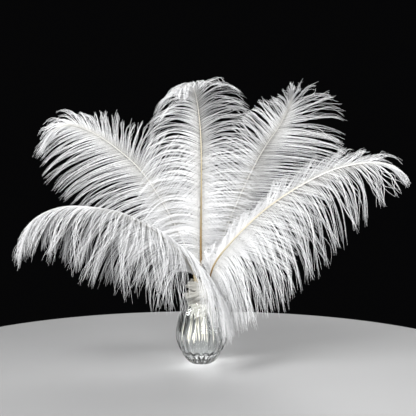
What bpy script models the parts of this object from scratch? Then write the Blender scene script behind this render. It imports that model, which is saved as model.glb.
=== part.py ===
"""Five white ostrich plumes standing in a small fluted glass vase, held at its mouth by a wound ribbon.

Metres, +Z up. The origin is at the middle of the vase's foot, on the surface that it stands on, and
-Y is the front. Each plume is one solid: a tapering shaft with forty locks of barbs grown out of it.
"""

from collections import namedtuple
from math import cos, pi, radians, sin

import bmesh
import bpy
import numpy as np
from mathutils import Vector

# Vase: an egg-shaped body on a small flat foot, with flutes all round that fade out at foot and rim.
# The profile is its outside, as radius and height from foot to rim.
VASE_HEIGHT = 0.1245
FOOT_RADIUS = 0.020
MOUTH_RADIUS = 0.032
VASE_PROFILE = ((FOOT_RADIUS, 0), (0.024, 0.002), (0.032, 0.010), (0.041, 0.024), (0.048, 0.038),
                (0.0515, 0.054), (0.0505, 0.071), (0.047, 0.087), (0.043, 0.101), (0.036, 0.113),
                (MOUTH_RADIUS, VASE_HEIGHT))
WALL = 0.0032
BASE_THICKNESS = 0.013
HOLLOW_FLOOR_RADIUS = 0.014
FLUTES = 16
FLUTE_DEPTH = 0.0018
FLUTE_FADE = 0.012

# Ribbon: wound round the quills, as a plug in the mouth and a puffed turn above it that slants up to
# the right. The two profiles are radius and height, from the bottom up.
FIT_GAP = 0.0005
PLUG_RADIUS = MOUTH_RADIUS - WALL - FIT_GAP
RIBBON_FOOT = 0.096
RIBBON_TOP = 0.167
PLUG_PROFILE = ((0, RIBBON_FOOT), (0.0255, RIBBON_FOOT), (PLUG_RADIUS - 0.0005, 0.110),
                (PLUG_RADIUS, VASE_HEIGHT))
PUFF_PROFILE = ((0.0305, 0.1265), (0.030, 0.1295), (0.027, 0.1315), (0.0345, 0.137), (0.033, 0.145),
                (0.027, 0.156), (0.019, 0.164), (0, RIBBON_TOP))
RIBBON_SLANT = 0.2
SLANT_START, SLANT_FULL = 0.1285, 0.1335
RIBBON_SIDES = 16

# Feathers
QUILL_RADIUS = 0.0023
SHAFT_TIP_RADIUS = 0.0008
QUILL_POINT = 0.008
QUILL_TAPERS_FROM = 0.2
VANE_THICKNESS = 0.0012
LOCKS = 20
UP = Vector((0, 0, 1))

# How far out along the barbs the rows of a vane lie, and how much of its width a lock has there
ROW_REACH = (0, 0.25, 0.5, 0.77, 1)
ROW_WIDTH = (1, 1, 1, 0.75, 0.16)
LAST_JOINED_ROW = 2

# One side of a feather. length is the longest barb. The other values are spread evenly along the vane,
# from its foot to its tip: angle is degrees off the shaft's direction, droop is how fast a barb falls,
# lift tips it off the vane's plane, and profile is its share of the full length.
Vane = namedtuple("Vane", "length angle droop lift profile")
FLAT = (0, 0, 0)

# A feather: the points that its shaft runs through, from the quill's end to the tip, which way its
# right-hand barbs leave it at either end, and how far along the shaft the vanes start
Plume = namedtuple("Plume", "name route side_at_foot side_at_tip vane_start right left")

PLUMES = (
    Plume(
        "feather_top",
        ((-0.012, 0.002, 0.044), (0.0, 0.0, 0.112), (-0.001, 0.005, 0.240), (0.0, 0.012, 0.377),
         (-0.001, 0.011, 0.450), (-0.005, 0.003, 0.500), (-0.012, -0.018, 0.542),
         (-0.024, -0.050, 0.561), (-0.034, -0.082, 0.552)),
        (1, 0, 0), (0.95, -0.3, 0.0), 0.27,
        Vane(0.120, (80, 74, 68, 54, 14), (1.2, 0.6, 0.9, 1.4), FLAT, (0.75, 0.9, 1, 1, 0.95, 0.30)),
        Vane(0.150, (70, 64, 60, 52, 14), (2.0, 1.5, 1.6, 2.6), FLAT, (0.7, 0.9, 1, 0.88, 0.68, 0.25)),
    ),
    Plume(
        "feather_upper_left",
        ((0.003, -0.014, 0.046), (-0.006, -0.005, 0.114), (-0.021, 0.034, 0.200), (-0.061, 0.060, 0.287),
         (-0.118, 0.079, 0.375), (-0.167, 0.082, 0.423), (-0.221, 0.073, 0.461),
         (-0.268, 0.056, 0.478), (-0.302, 0.037, 0.466)),
        (0.8, 0, 0.4), (0.3, 0.2, 0.9), 0.36,
        Vane(0.165, (54, 52, 56, 54, 30), (0.4, 0.4, 0.5, 1.5), (0.4, 0.7, 0.6), (0.75, 1.08, 0.92, 0.64, 0.40, 0.3)),
        Vane(0.165, (70, 60, 45, 22), (1.1, 0.8, 0.8), FLAT, (0.75, 0.9, 1, 1, 0.75, 0.45)),
    ),
    Plume(
        "feather_upper_right",
        ((-0.023, -0.012, 0.040), (-0.006, 0.006, 0.112), (0.025, 0.026, 0.201), (0.070, 0.040, 0.316),
         (0.116, 0.050, 0.412), (0.160, 0.049, 0.480), (0.178, 0.033, 0.520), (0.181, 0.008, 0.545)),
        (0.9, 0.1, -0.3), (0.9, 0.1, -0.1), 0.34,
        Vane(0.190, (74, 68, 60, 54, 16), (0.8, 0.4, 0.4), FLAT, (0.8, 0.9, 1, 1, 0.74, 0.2)),
        Vane(0.110, (60, 68, 78, 72, 24), (0.6, 0.3, 0.4), FLAT, (0.7, 0.85, 0.98, 0.84, 0.62, 0.3)),
    ),
    Plume(
        "feather_lower_left",
        ((0.016, 0.004, 0.040), (0.006, -0.006, 0.112), (-0.011, -0.024, 0.177), (-0.036, -0.048, 0.223),
         (-0.085, -0.077, 0.272), (-0.150, -0.098, 0.309), (-0.213, -0.106, 0.324),
         (-0.268, -0.105, 0.324), (-0.315, -0.098, 0.305), (-0.339, -0.092, 0.274)),
        (0.46, -0.68, 0.5), (0, -1, 0.1), 0.26,
        Vane(0.243, (75, 70, 55, 28), (3.5, 3.2, 2.9), FLAT, (0.72, 0.90, 1, 0.86, 0.60, 0.36)),
        Vane(0.210, (60, 65, 55, 28), (2.5, 2.6, 2.4), FLAT, (0.5, 0.78, 1, 0.82, 0.60, 0.36)),
    ),
    Plume(
        "feather_lower_right",
        ((-0.033, 0.006, 0.044), (0.006, 0.006, 0.112), (0.023, -0.027, 0.196), (0.060, -0.047, 0.251),
         (0.119, -0.064, 0.311), (0.180, -0.077, 0.356), (0.245, -0.085, 0.391),
         (0.300, -0.086, 0.406), (0.344, -0.082, 0.408), (0.376, -0.078, 0.401)),
        (-0.4, 0.3, 0.75), (-0.1, 0.5, 0.8), 0.23,
        Vane(0.112, (45, 42, 48, 48, 16), (0.6, 0.6, 0.3), (-0.1, -0.5, -0.5), (0.33, 0.47, 0.72, 1, 0.95, 0.4)),
        Vane(0.188, (50, 60, 52, 32, 8), (3.0, 2.4, 1.9, 0.9), FLAT, (0.85, 0.97, 1, 0.8, 0.55, 0.35)),
    ),
)

SHAFT_POINTS = 161
QUILL_RINGS = 6
BARB_STEPS = 12
LAST_BARB = 0.985


def spread(values, t):
    """The value at t, from 0 to 1, of numbers that are spread evenly over that stretch."""
    return float(np.interp(t, np.linspace(0, 1, len(values)), values))


def smooth_route(points, count):
    """A Catmull-Rom curve through the points, as this many points at even distances along it."""
    points = np.array(points, float)
    before = 2 * points[0] - points[1]
    after = 2 * points[-1] - points[-2]
    knots = np.vstack([before, points, after])
    curve = []
    for a, b, c, d in zip(knots, knots[1:], knots[2:], knots[3:]):
        for s in np.linspace(0, 1, 24, endpoint=False):
            curve.append(0.5 * (2 * b + (c - a) * s + (2 * a - 5 * b + 4 * c - d) * s**2
                                + (3 * b - a - 3 * c + d) * s**3))
    curve = np.array(curve + [points[-1]])
    run = np.append(0, np.cumsum(np.linalg.norm(np.diff(curve, axis=0), axis=1)))
    even = np.linspace(0, run[-1], count)
    return np.column_stack([np.interp(even, run, curve[:, axis]) for axis in range(3)])


def shaft_frame(plume, line, t):
    """The shaft's point at t along it, its direction there, and the way to the right-hand vane."""
    at = t * (SHAFT_POINTS - 1)
    low = min(int(at), SHAFT_POINTS - 2)
    point = Vector(line[low]).lerp(Vector(line[low + 1]), at - low)
    ahead = Vector(line[min(low + 2, SHAFT_POINTS - 1)]) - Vector(line[max(low - 1, 0)])
    ahead.normalize()
    side = Vector(plume.side_at_foot).lerp(Vector(plume.side_at_tip), t)
    side = (side - side.dot(ahead) * ahead).normalized()
    return point, ahead, side


def vane_station(plume, t):
    """How far along the shaft a barb leaves it, for one that is a share t of the way up the vane."""
    return plume.vane_start + (LAST_BARB - plume.vane_start) * t


def barb_path(plume, line, t, hand):
    """The points of the barb that leaves the shaft a share t of the way up the vane; hand is 1 or -1."""
    vane = plume.right if hand > 0 else plume.left
    point, ahead, side = shaft_frame(plume, line, vane_station(plume, t))
    angle = radians(spread(vane.angle, t))
    off_plane = ahead.cross(side) * spread(vane.lift, t)
    start = cos(angle) * ahead + hand * sin(angle) * side + off_plane
    step = vane.length * spread(vane.profile, t) / BARB_STEPS
    fall = spread(vane.droop, t)
    path = [point]
    for i in range(BARB_STEPS):
        gone = (i + 0.5) / BARB_STEPS
        heading = (start - fall * gone**1.2 * UP).normalized()
        path.append(path[-1] + step * heading)
    return path


def material(name, colour, roughness, transmission=0.0):
    finish = bpy.data.materials.new(name)
    finish.use_nodes = True
    shader = finish.node_tree.nodes["Principled BSDF"]
    shader.inputs["Base Color"].default_value = (*colour, 1)
    shader.inputs["Roughness"].default_value = roughness
    shader.inputs["Metallic"].default_value = 0
    shader.inputs["Transmission Weight"].default_value = transmission
    return finish


def add_object(name, mesh, finish, collection):
    made = bpy.data.objects.new(name, mesh)
    mesh.materials.append(finish)
    collection.objects.link(made)
    return made


def mesh_of(shape, name):
    """The bmesh as a mesh, with its faces turned outwards, and the bmesh freed."""
    bmesh.ops.recalc_face_normals(shape, faces=shape.faces)
    mesh = bpy.data.meshes.new(name)
    shape.to_mesh(mesh)
    shape.free()
    return mesh


def hide_helper(helper):
    helper.hide_render = True
    helper.display_type = "WIRE"


def tube(name, points, radii, collection):
    """A closed tube through the points, as a mesh object that other shapes join or are cut by."""
    curve = bpy.data.curves.new(name, "CURVE")
    curve.dimensions = "3D"
    curve.bevel_depth = 1
    curve.bevel_resolution = 1
    curve.use_fill_caps = True
    spline = curve.splines.new("POLY")
    spline.points.add(len(points) - 1)
    for spot, place, radius in zip(spline.points, points, radii):
        spot.co = (*place, 1)
        spot.radius = radius
    drawn = bpy.data.objects.new(name + "_curve", curve)
    collection.objects.link(drawn)
    evaluated = drawn.evaluated_get(bpy.context.evaluated_depsgraph_get())
    shape = bmesh.new()
    shape.from_mesh(bpy.data.meshes.new_from_object(evaluated))
    bpy.data.objects.remove(drawn)
    bmesh.ops.remove_doubles(shape, verts=shape.verts, dist=1e-6)
    solid = bpy.data.objects.new(name, mesh_of(shape, name))
    collection.objects.link(solid)
    hide_helper(solid)
    return solid


def shaft_tube(plume, line, ending, extra, collection):
    """The whole shaft, fatter by extra: a quill pointed at its end, and a taper to the feather's tip."""
    length = np.linalg.norm(np.diff(line, axis=0), axis=1).sum()
    point_end = QUILL_POINT / length
    quill = np.linspace(point_end, plume.vane_start, QUILL_RINGS, endpoint=False)
    vaned = [vane_station(plume, i / LOCKS) for i in range(LOCKS + 1)]
    share = [0, *quill, *vaned, 1]
    radii = np.interp(share, (0, point_end, QUILL_TAPERS_FROM, 1),
                      (0.35 * QUILL_RADIUS, QUILL_RADIUS, QUILL_RADIUS, SHAFT_TIP_RADIUS))
    centres = [shaft_frame(plume, line, t)[0] for t in share]
    return tube(plume.name + ending, centres, radii + extra, collection)


def vane_sheet(plume, line):
    """Both vanes as one flat grid bent to the barbs, cut apart between its locks beyond the joined rows."""
    rows = len(ROW_REACH) - 1
    sheet = bmesh.new()
    bmesh.ops.create_grid(sheet, x_segments=LOCKS, y_segments=2 * rows, size=1)

    def station(x):
        return (x + 1) / 2 * LOCKS

    def row(y):
        return round(abs(y) * rows)

    gaps = []
    for edge in sheet.edges:
        first, second = edge.verts
        between_locks = abs(first.co.x - second.co.x) < 1e-4 and not edge.is_boundary
        if between_locks and min(row(first.co.y), row(second.co.y)) >= LAST_JOINED_ROW:
            gaps.append(edge)
    bmesh.ops.split_edges(sheet, edges=gaps)

    places = []
    for vert in sheet.verts:
        faces = vert.link_faces
        middle = int(station(sum(face.calc_center_median().x for face in faces) / len(faces))) + 0.5
        width = ROW_WIDTH[row(vert.co.y)]
        at = station(vert.co.x) if width == 1 else middle + (station(vert.co.x) - middle) * width
        path = barb_path(plume, line, at / LOCKS, 1 if vert.co.y > 0 else -1)
        out = ROW_REACH[row(vert.co.y)] * BARB_STEPS
        low = min(int(out), BARB_STEPS - 1)
        places.append(path[low].lerp(path[low + 1], out - low))
    for vert, place in zip(sheet.verts, places):
        vert.co = place
    return mesh_of(sheet, plume.name)


def feather(plume, finish, collection, helpers):
    line = smooth_route(plume.route, SHAFT_POINTS)
    made = add_object(plume.name, vane_sheet(plume, line), finish, collection)
    thicken = made.modifiers.new("vane thickness", "SOLIDIFY")
    thicken.thickness = VANE_THICKNESS
    thicken.offset = 0
    join = made.modifiers.new("shaft", "BOOLEAN")
    join.operation = "UNION"
    join.use_self = True
    join.object = shaft_tube(plume, line, "_shaft", 0, helpers)
    return made


def turned(profile, steps):
    """A solid turned about Z from a profile that starts and ends on the axis."""
    shape = bmesh.new()
    verts = [shape.verts.new((r, 0, z)) for r, z in profile]
    edges = [shape.edges.new(pair) for pair in zip(verts, verts[1:])]
    bmesh.ops.spin(shape, geom=verts + edges, cent=(0, 0, 0), axis=UP, angle=2 * pi, steps=steps,
                   use_merge=True)
    bmesh.ops.remove_doubles(shape, verts=shape.verts, dist=1e-6)
    return shape


def vase(finish, collection, helpers):
    """A turned body with every second meridian pulled in as a flute, less the hollow turned inside it."""
    body = turned(((0, 0), *VASE_PROFILE, (0, VASE_HEIGHT)), 2 * FLUTES)
    for vert in body.verts:
        meridian = round(np.arctan2(vert.co.y, vert.co.x) / (pi / FLUTES))
        out = Vector((vert.co.x, vert.co.y, 0))
        if meridian % 2:
            past_foot = max(0, out.length - FOOT_RADIUS)
            below_rim = VASE_HEIGHT - vert.co.z
            depth = FLUTE_DEPTH * min(1, past_foot / FLUTE_FADE, below_rim / FLUTE_FADE)
            vert.co -= out.normalized() * depth
    floor = (HOLLOW_FLOOR_RADIUS, BASE_THICKNESS)
    sides = [(r - WALL - FLUTE_DEPTH, z) for r, z in VASE_PROFILE if BASE_THICKNESS < z < VASE_HEIGHT]
    mouth = MOUTH_RADIUS - WALL
    above_rim = VASE_HEIGHT + 0.01
    hollow = turned(((0, BASE_THICKNESS), floor, *sides, (mouth, VASE_HEIGHT - 0.004), (mouth, above_rim),
                     (0, above_rim)), 2 * FLUTES)
    cutter = bpy.data.objects.new("vase_hollow", mesh_of(hollow, "vase_hollow"))
    helpers.objects.link(cutter)
    hide_helper(cutter)
    made = add_object("glass_vase", mesh_of(body, "glass_vase"), finish, collection)
    cut = made.modifiers.new("hollow", "BOOLEAN")
    cut.operation = "DIFFERENCE"
    cut.object = cutter
    return made


def ribbon(finish, collection, helpers):
    """The wad of ribbon, sheared so that its upper turn slants, with a hole for each quill."""
    wad = turned((*PLUG_PROFILE, *PUFF_PROFILE), RIBBON_SIDES)
    for vert in wad.verts:
        share = np.interp(vert.co.z, (SLANT_START, SLANT_FULL), (0, RIBBON_SLANT))
        vert.co.z += share * vert.co.x
    made = add_object("ribbon", mesh_of(wad, "ribbon"), finish, collection)
    for plume in PLUMES:
        hole = made.modifiers.new(plume.name, "BOOLEAN")
        hole.operation = "DIFFERENCE"
        line = smooth_route(plume.route, SHAFT_POINTS)
        hole.object = shaft_tube(plume, line, "_hole", FIT_GAP, helpers)
    return made


def build():
    for old in list(bpy.data.objects):
        bpy.data.objects.remove(old)
    bouquet = bpy.data.collections.new("Ostrich plumes in a glass vase")
    helpers = bpy.data.collections.new("Helpers")
    for made in (bouquet, helpers):
        bpy.context.scene.collection.children.link(made)
    white = material("ostrich_feather", (0.86, 0.86, 0.84), 0.75)
    clear = material("fluted_glass", (0.95, 0.97, 0.97), 0.03, transmission=1)
    satin = material("ribbon_satin", (0.80, 0.80, 0.78), 0.45)
    for plume in PLUMES:
        feather(plume, white, bouquet, helpers)
    vase(clear, bouquet, helpers)
    ribbon(satin, bouquet, helpers)


build()
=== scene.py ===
# %% [markdown]
# # White ostrich plumes in a fluted glass vase
#
# Five plumes stand in a small pressed-glass vase, with a strip of white ribbon wound round their quills.
# The solid model already gives every feather, the vase and the ribbon their true place and size. This
# script dresses them: it grows hundreds of fine barbs on each feather, turns the glass with its flutes,
# winds the ribbon, and sets a plain studio round them.

# %% Load the frame
from collections import namedtuple
from math import cos, pi, radians, sin

import bmesh
import bpy
import numpy as np
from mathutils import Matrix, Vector


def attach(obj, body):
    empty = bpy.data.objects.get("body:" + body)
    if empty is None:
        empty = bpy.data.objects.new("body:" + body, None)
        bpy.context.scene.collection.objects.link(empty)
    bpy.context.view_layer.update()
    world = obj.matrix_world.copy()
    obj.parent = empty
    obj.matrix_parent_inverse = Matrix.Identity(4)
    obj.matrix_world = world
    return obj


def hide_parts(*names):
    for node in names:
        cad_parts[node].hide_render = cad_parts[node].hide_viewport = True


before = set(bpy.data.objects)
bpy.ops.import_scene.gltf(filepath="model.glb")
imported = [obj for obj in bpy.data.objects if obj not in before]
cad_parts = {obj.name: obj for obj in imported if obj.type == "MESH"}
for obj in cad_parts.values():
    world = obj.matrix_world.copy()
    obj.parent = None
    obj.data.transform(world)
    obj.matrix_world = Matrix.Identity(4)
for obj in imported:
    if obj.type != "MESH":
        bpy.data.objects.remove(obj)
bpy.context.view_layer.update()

print("nodes:", ", ".join(sorted(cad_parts)))

# %% [markdown]
# ## Camera
#
# The picture was taken from far off with a long lens, a little above the middle of the bunch, so the vase's
# mouth and foot look almost flat. A camera 2.6 m away with a lens of about 112 mm keeps those proportions.
# It looks slightly down, and nothing is shifted or thrown out of focus.

# %% Camera
CAMERA_DISTANCE = 2.6
CAMERA_RISE = radians(5)
LOOKS_AT = Vector((0.0132, 0, 0.3132))
VIEW_WIDTH = 0.832
SENSOR = 36
FAR_LIMIT = 20

lens = bpy.data.cameras.new("camera")
lens.sensor_width = SENSOR
lens.lens = SENSOR * CAMERA_DISTANCE / VIEW_WIDTH
lens.clip_end = FAR_LIMIT
camera = bpy.data.objects.new("camera", lens)
camera.location = LOOKS_AT + CAMERA_DISTANCE * Vector((0, -cos(CAMERA_RISE), sin(CAMERA_RISE)))
camera.rotation_euler = (pi / 2 - CAMERA_RISE, 0, 0)
bpy.context.collection.objects.link(camera)
bpy.context.scene.camera = camera
print("lens", round(lens.lens, 1), "mm, looking from", [round(x, 2) for x in camera.location])

# %% [markdown]
# ## Effects that finishes share
#
# An effect that several finishes need is a node group: it is built once, and each material places it with
# its own values. Two helpers make that short. One makes an empty group with named sockets, and the other
# mixes two colours, which may come from other nodes or be plain values.


# %% Helpers for groups
def new_group(name, inputs, outputs):
    """A shader node group with these named sockets, and its input and output nodes."""
    group = bpy.data.node_groups.new(name, "ShaderNodeTree")
    for label, kind, value in inputs:
        socket = group.interface.new_socket(label, in_out="INPUT", socket_type=kind)
        socket.default_value = value
    for label, kind in outputs:
        group.interface.new_socket(label, in_out="OUTPUT", socket_type=kind)
    return group, group.nodes.new("NodeGroupInput"), group.nodes.new("NodeGroupOutput")


def mix_colours(nodes, links, share, first, second):
    """The output of a colour mix whose share and two colours are sockets or plain values."""
    mix = nodes.new("ShaderNodeMix")
    mix.data_type = "RGBA"
    for socket, value in ((mix.inputs["Factor"], share), (mix.inputs[6], first), (mix.inputs[7], second)):
        if isinstance(value, bpy.types.NodeSocket):
            links.new(value, socket)
        else:
            socket.default_value = value
    return mix.outputs[2]


print("ready: new_group, mix_colours")

# %% [markdown]
# ## The fibre tone and painted shade effect
#
# The barbs are white keratin, with a cream tint where they meet the shaft. Each wisp is given a random
# share of a darker grey: painted shade, which stands in for the shadow between and behind the strands.
# Near the shaft the barbs are also darkened, painted shade where they crowd.
# *Fibre tone and painted shade* takes a number that differs from strand to strand and another that runs
# along the strand, and gives a colour.

# %% Fibre tone and painted shade
# The root colour, a cream tint with painted shade, fades out over this share of the barb from the shaft.
ROOT_ENDS = 0.22
ROOT_CREAM_AND_SHADE_SHARE = 0.75


def fibre_tone_and_shade_group():
    # The second colour is painted shade on random wisps; the third is the cream root tint with painted
    # shade where barbs crowd.
    group, given, out = new_group(
        "Fibre tone and painted shade",
        (("Strand", "NodeSocketFloat", 0.5), ("Reach", "NodeSocketFloat", 0.5),
         ("Light", "NodeSocketColor", (1, 1, 1, 1)), ("Dark", "NodeSocketColor", (0.7, 0.7, 0.68, 1)),
         ("Root", "NodeSocketColor", (0.8, 0.78, 0.7, 1))),
        (("Color", "NodeSocketColor"),),
    )
    nodes, links = group.nodes, group.links
    body = mix_colours(nodes, links, given.outputs["Strand"], given.outputs["Light"], given.outputs["Dark"])
    rooted = nodes.new("ShaderNodeMapRange")
    rooted.inputs["From Min"].default_value = 0.0
    rooted.inputs["From Max"].default_value = ROOT_ENDS
    rooted.inputs["To Min"].default_value = ROOT_CREAM_AND_SHADE_SHARE
    rooted.inputs["To Max"].default_value = 0.0
    links.new(given.outputs["Reach"], rooted.inputs["Value"])
    tone = mix_colours(nodes, links, rooted.outputs["Result"], body, given.outputs["Root"])
    links.new(tone, out.inputs["Color"])
    return group


FIBRE_TONE_AND_SHADE = fibre_tone_and_shade_group()
print("group:", FIBRE_TONE_AND_SHADE.name)

# %% [markdown]
# ## The fine mottle effect
#
# Glass, ribbon, horn and table all have faint soft blotches. *Fine mottle* is noise on Object coordinates,
# so it stays fixed to the piece, and it can be stretched along one axis, as horn's streaks are.

# %% Fine mottle
NOISE_DETAIL = 4


def mottle_group():
    group, given, out = new_group(
        "Fine mottle",
        (("Scale", "NodeSocketFloat", 60.0), ("Stretch", "NodeSocketVector", (1, 1, 1))),
        (("Mask", "NodeSocketFloat"),),
    )
    nodes, links = group.nodes, group.links
    place = nodes.new("ShaderNodeTexCoord")
    stretch = nodes.new("ShaderNodeVectorMath")
    stretch.operation = "MULTIPLY"
    links.new(place.outputs["Object"], stretch.inputs[0])
    links.new(given.outputs["Stretch"], stretch.inputs[1])
    noise = nodes.new("ShaderNodeTexNoise")
    noise.inputs["Detail"].default_value = NOISE_DETAIL
    links.new(stretch.outputs["Vector"], noise.inputs["Vector"])
    links.new(given.outputs["Scale"], noise.inputs["Scale"])
    links.new(noise.outputs["Fac"], out.inputs["Mask"])
    return group


FINE_MOTTLE = mottle_group()
print("group:", FINE_MOTTLE.name)

# %% [markdown]
# ## Where the feathers run
#
# A feather is fully described by the line of its shaft and by how its barbs leave it. The shaft is a smooth
# curve through a few points. Each side has a length for its longest barb and short lists that are read
# evenly from the vane's foot to its tip: the angle to the shaft, how fast a barb falls, how far it is
# tipped out of the vane's plane, and its share of the full length.
#
# Nearly all of these values are the ones that the solid feathers were made from, so the barbs grow and end
# where the solids' locks do. A few are nearer to the picture: the hanging side of the lower right feather
# falls more steeply, the right side of the upper left one has longer barbs at its base that stand further
# off the shaft, and the lower left one is a little shorter towards its tip.

# %% Feather routes
Vane = namedtuple("Vane", "length angle droop lift profile")
Plume = namedtuple("Plume", "name route side_at_foot side_at_tip vane_start right left")
FLAT = (0, 0, 0)

PLUMES = (
    Plume(
        "feather_top",
        ((-0.012, 0.002, 0.044), (0.0, 0.0, 0.112), (-0.001, 0.005, 0.240), (0.0, 0.012, 0.377),
         (-0.001, 0.011, 0.450), (-0.005, 0.003, 0.500), (-0.012, -0.018, 0.542),
         (-0.024, -0.050, 0.561), (-0.034, -0.082, 0.552)),
        (1, 0, 0), (0.95, -0.3, 0.0), 0.27,
        Vane(0.120, (80, 74, 68, 54, 14), (1.2, 0.6, 0.9, 1.4), FLAT, (0.75, 0.9, 1, 1, 0.95, 0.30)),
        Vane(0.150, (70, 64, 60, 52, 14), (2.0, 1.5, 1.6, 2.6), FLAT, (0.7, 0.9, 1, 0.88, 0.68, 0.25)),
    ),
    Plume(
        "feather_upper_left",
        ((0.003, -0.014, 0.046), (-0.006, -0.005, 0.114), (-0.021, 0.034, 0.200), (-0.061, 0.060, 0.287),
         (-0.118, 0.079, 0.375), (-0.167, 0.082, 0.423), (-0.221, 0.073, 0.461),
         (-0.268, 0.056, 0.478), (-0.302, 0.037, 0.466)),
        (0.8, 0, 0.4), (0.3, 0.2, 0.9), 0.36,
        Vane(0.165, (68, 62, 60, 54, 30), (0.4, 0.4, 0.5, 1.5), (0.4, 0.7, 0.6),
             (0.88, 1.15, 0.95, 0.66, 0.42, 0.3)),
        Vane(0.165, (70, 60, 45, 22), (1.1, 0.8, 0.8), FLAT, (0.75, 0.9, 1, 1, 0.75, 0.45)),
    ),
    Plume(
        "feather_upper_right",
        ((-0.023, -0.012, 0.040), (-0.006, 0.006, 0.112), (0.025, 0.026, 0.201), (0.070, 0.040, 0.316),
         (0.116, 0.050, 0.412), (0.160, 0.049, 0.480), (0.178, 0.033, 0.520), (0.181, 0.008, 0.545)),
        (0.9, 0.1, -0.3), (0.9, 0.1, -0.1), 0.34,
        Vane(0.190, (74, 68, 60, 54, 16), (0.8, 0.4, 0.4), FLAT, (0.8, 0.9, 1, 1, 0.74, 0.2)),
        Vane(0.110, (60, 68, 78, 72, 24), (0.6, 0.3, 0.4), FLAT, (0.7, 0.85, 0.98, 0.84, 0.62, 0.3)),
    ),
    Plume(
        "feather_lower_left",
        ((0.016, 0.004, 0.040), (0.006, -0.006, 0.112), (-0.011, -0.024, 0.177), (-0.036, -0.048, 0.223),
         (-0.085, -0.077, 0.272), (-0.150, -0.098, 0.309), (-0.213, -0.106, 0.324),
         (-0.268, -0.105, 0.324), (-0.315, -0.098, 0.305), (-0.339, -0.092, 0.274)),
        (0.46, -0.68, 0.5), (0, -1, 0.1), 0.26,
        Vane(0.243, (75, 70, 55, 28), (3.5, 3.2, 2.9), FLAT, (0.72, 0.90, 1, 0.81, 0.55, 0.35)),
        Vane(0.210, (60, 65, 55, 28), (2.5, 2.6, 2.4), FLAT, (0.5, 0.78, 1, 0.80, 0.57, 0.35)),
    ),
    Plume(
        "feather_lower_right",
        ((-0.033, 0.006, 0.044), (0.006, 0.006, 0.112), (0.023, -0.027, 0.196), (0.060, -0.047, 0.251),
         (0.119, -0.064, 0.311), (0.180, -0.077, 0.356), (0.245, -0.085, 0.391),
         (0.300, -0.086, 0.406), (0.344, -0.082, 0.408), (0.376, -0.078, 0.401)),
        (-0.4, 0.3, 0.75), (-0.1, 0.5, 0.8), 0.23,
        Vane(0.112, (45, 42, 48, 48, 16), (0.6, 0.6, 0.3), (-0.1, -0.5, -0.5),
             (0.33, 0.47, 0.72, 1, 0.95, 0.4)),
        Vane(0.188, (78, 72, 66, 58, 24), (5.0, 4.2, 3.8, 3.0, 1.6), FLAT,
             (0.75, 0.93, 1.01, 0.88, 0.6, 0.35)),
    ),
)
print(len(PLUMES), "feathers")

# %% [markdown]
# ## Small tools for lines and rows
#
# The next steps work on whole rows of points at once, because one feather has hundreds of barbs. These four
# functions do the common jobs: lengths made one, values spread over a stretch, a smooth rise from 0 to 1,
# and the curve through a route's points. The curve passes through every point, so a route is easy to shape.

# %% Lines and rows
SHAFT_POINTS = 161
STEPS_BETWEEN = 24


def unit(vectors):
    """The vectors, each brought to length 1."""
    return vectors / np.maximum(np.linalg.norm(vectors, axis=-1, keepdims=True), 1e-12)


def spread(values, t):
    """The values at t, from 0 to 1, of numbers that are spread evenly over that stretch."""
    return np.interp(t, np.linspace(0, 1, len(values)), values)


def ease(x, low, high):
    """0 below low, 1 above high, and a smooth rise between them."""
    x = np.clip((x - low) / (high - low), 0, 1)
    return x * x * (3 - 2 * x)


def shaft_line(route):
    """A Catmull-Rom curve through the route's points, as points at even distances along it."""
    points = np.array(route, float)
    knots = np.vstack([2 * points[0] - points[1], points, 2 * points[-1] - points[-2]])
    s = np.linspace(0, 1, STEPS_BETWEEN, endpoint=False)[:, None]
    spans = [0.5 * (2 * b + (c - a) * s + (2 * a - 5 * b + 4 * c - d) * s**2
                    + (3 * b - a - 3 * c + d) * s**3)
             for a, b, c, d in zip(knots, knots[1:], knots[2:], knots[3:])]
    curve = np.vstack([*spans, points[-1:]])
    run = np.append(0, np.cumsum(np.linalg.norm(np.diff(curve, axis=0), axis=1)))
    even = np.linspace(0, run[-1], SHAFT_POINTS)
    return np.column_stack([np.interp(even, run, curve[:, axis]) for axis in range(3)])


def length_of(line):
    """How long a line of points is."""
    return np.linalg.norm(np.diff(line, axis=0), axis=1).sum()


LINES = {plume.name: shaft_line(plume.route) for plume in PLUMES}
for name, line in LINES.items():
    print(name, "shaft", round(length_of(line) * 1000), "mm")

# %% [markdown]
# ## The vane's surface
#
# `shaft_frame` tells where the shaft is, where it heads, and which way is its right. `vane_surface` then
# works out a grid of points: one row for each place along the shaft, and in that row the path that a barb
# from there follows. A barb starts at its angle and bends towards the ground a little more with every step,
# which gives the sweep of a real plume. Every strand is later read off this grid, so strands can crowd
# together into locks without leaving the feather's form.


# %% Frame along the shaft
def shaft_frame(plume, line, t):
    """Points, directions and right-hand ways at the shares t along the shaft, as arrays of rows."""
    at = np.asarray(t) * (SHAFT_POINTS - 1)
    low = np.minimum(at.astype(int), SHAFT_POINTS - 2)
    part = (at - low)[:, None]
    point = line[low] * (1 - part) + line[low + 1] * part
    ahead = unit(line[np.minimum(low + 2, SHAFT_POINTS - 1)] - line[np.maximum(low - 1, 0)])
    t = np.asarray(t)[:, None]
    side = np.array(plume.side_at_foot) * (1 - t) + np.array(plume.side_at_tip) * t
    side = unit(side - (side * ahead).sum(1, keepdims=True) * ahead)
    return point, ahead, side


for plume in PLUMES:
    point, _, side = shaft_frame(plume, LINES[plume.name], [plume.vane_start])
    print(plume.name, "vane starts", round(point[0, 2] * 1000), "mm up; its right is", side[0].round(1))

# %% Vane surface
GRID_ROWS = 121
GRID_STEPS = 24
LAST_BARB = 0.985
CLOSES_FROM = 0.86
CLOSING_TURN = 0.85
BEND_POWER = 1.2
DOWN = np.array((0.0, 0.0, -1.0))


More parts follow.
